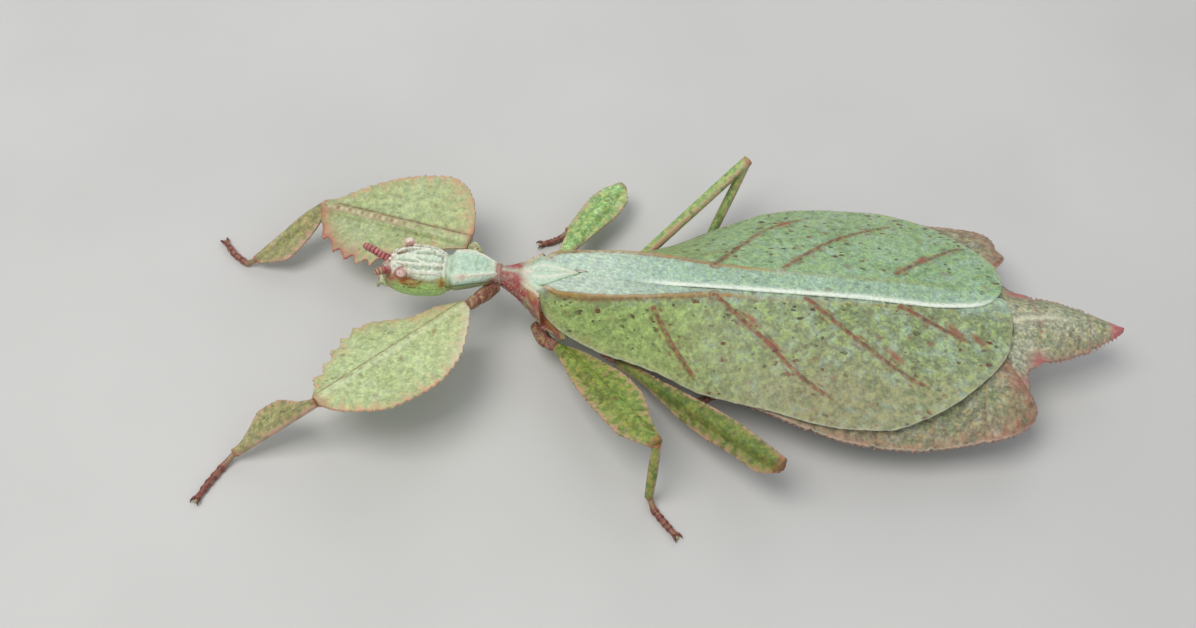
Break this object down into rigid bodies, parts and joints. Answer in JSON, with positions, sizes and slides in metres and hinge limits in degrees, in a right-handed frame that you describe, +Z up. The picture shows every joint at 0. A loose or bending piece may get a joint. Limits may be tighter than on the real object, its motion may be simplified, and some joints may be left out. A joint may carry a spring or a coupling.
{
  "type": "leaf insect",
  "caption": "Still life-size leaf insect standing on its feet, with leaf-shaped wings, a broad flat abdomen and lobed legs.",
  "frame": {"origin": "centre of the bounding box on the floor that the feet stand on", "axes": "+X from the head to the tip of the abdomen, +Y to the insect's right side, +Z up"},
  "size_m": [0.1334, 0.0606, 0.0138],
  "materials": {
    "wing": "satin leaf-like wing skin",
    "body": "matte pale green body skin",
    "head": "matte whitish mint skin with fine grains",
    "leg": "matte lime and cream leaf lobes",
    "joint": "dark red, slightly shiny horn",
    "eye": "pale pink, shiny"
  },
  "bodies": {
    "root": {"head": "head", "mouthparts": "head", "eye_left": "eye", "eye_right": "eye", "antenna_left": "joint", "antenna_right": "joint", "prothorax": "head", "mesothorax": "body", "metathorax": "body", "abdomen": "body", "abdomen_tip": "body", "wing_left": "wing", "wing_right": "wing", "coxa_fore_left": "joint", "coxa_fore_right": "joint", "coxa_mid_left": "joint", "coxa_mid_right": "joint", "coxa_hind_left": "joint", "coxa_hind_right": "joint", "femur_fore_left": "leg", "femur_fore_right": "leg", "femur_mid_left": "leg", "femur_mid_right": "leg", "femur_hind_left": "leg", "femur_hind_right": "leg", "tibia_fore_left": "leg", "tibia_fore_right": "leg", "tibia_mid_left": "leg", "tibia_mid_right": "leg", "tibia_hind_left": "leg", "tibia_hind_right": "leg", "tarsus_fore_left": "joint", "tarsus_fore_right": "joint", "tarsus_mid_left": "joint", "tarsus_mid_right": "joint", "tarsus_hind_left": "joint", "tarsus_hind_right": "joint"}
  },
  "joints": []
}
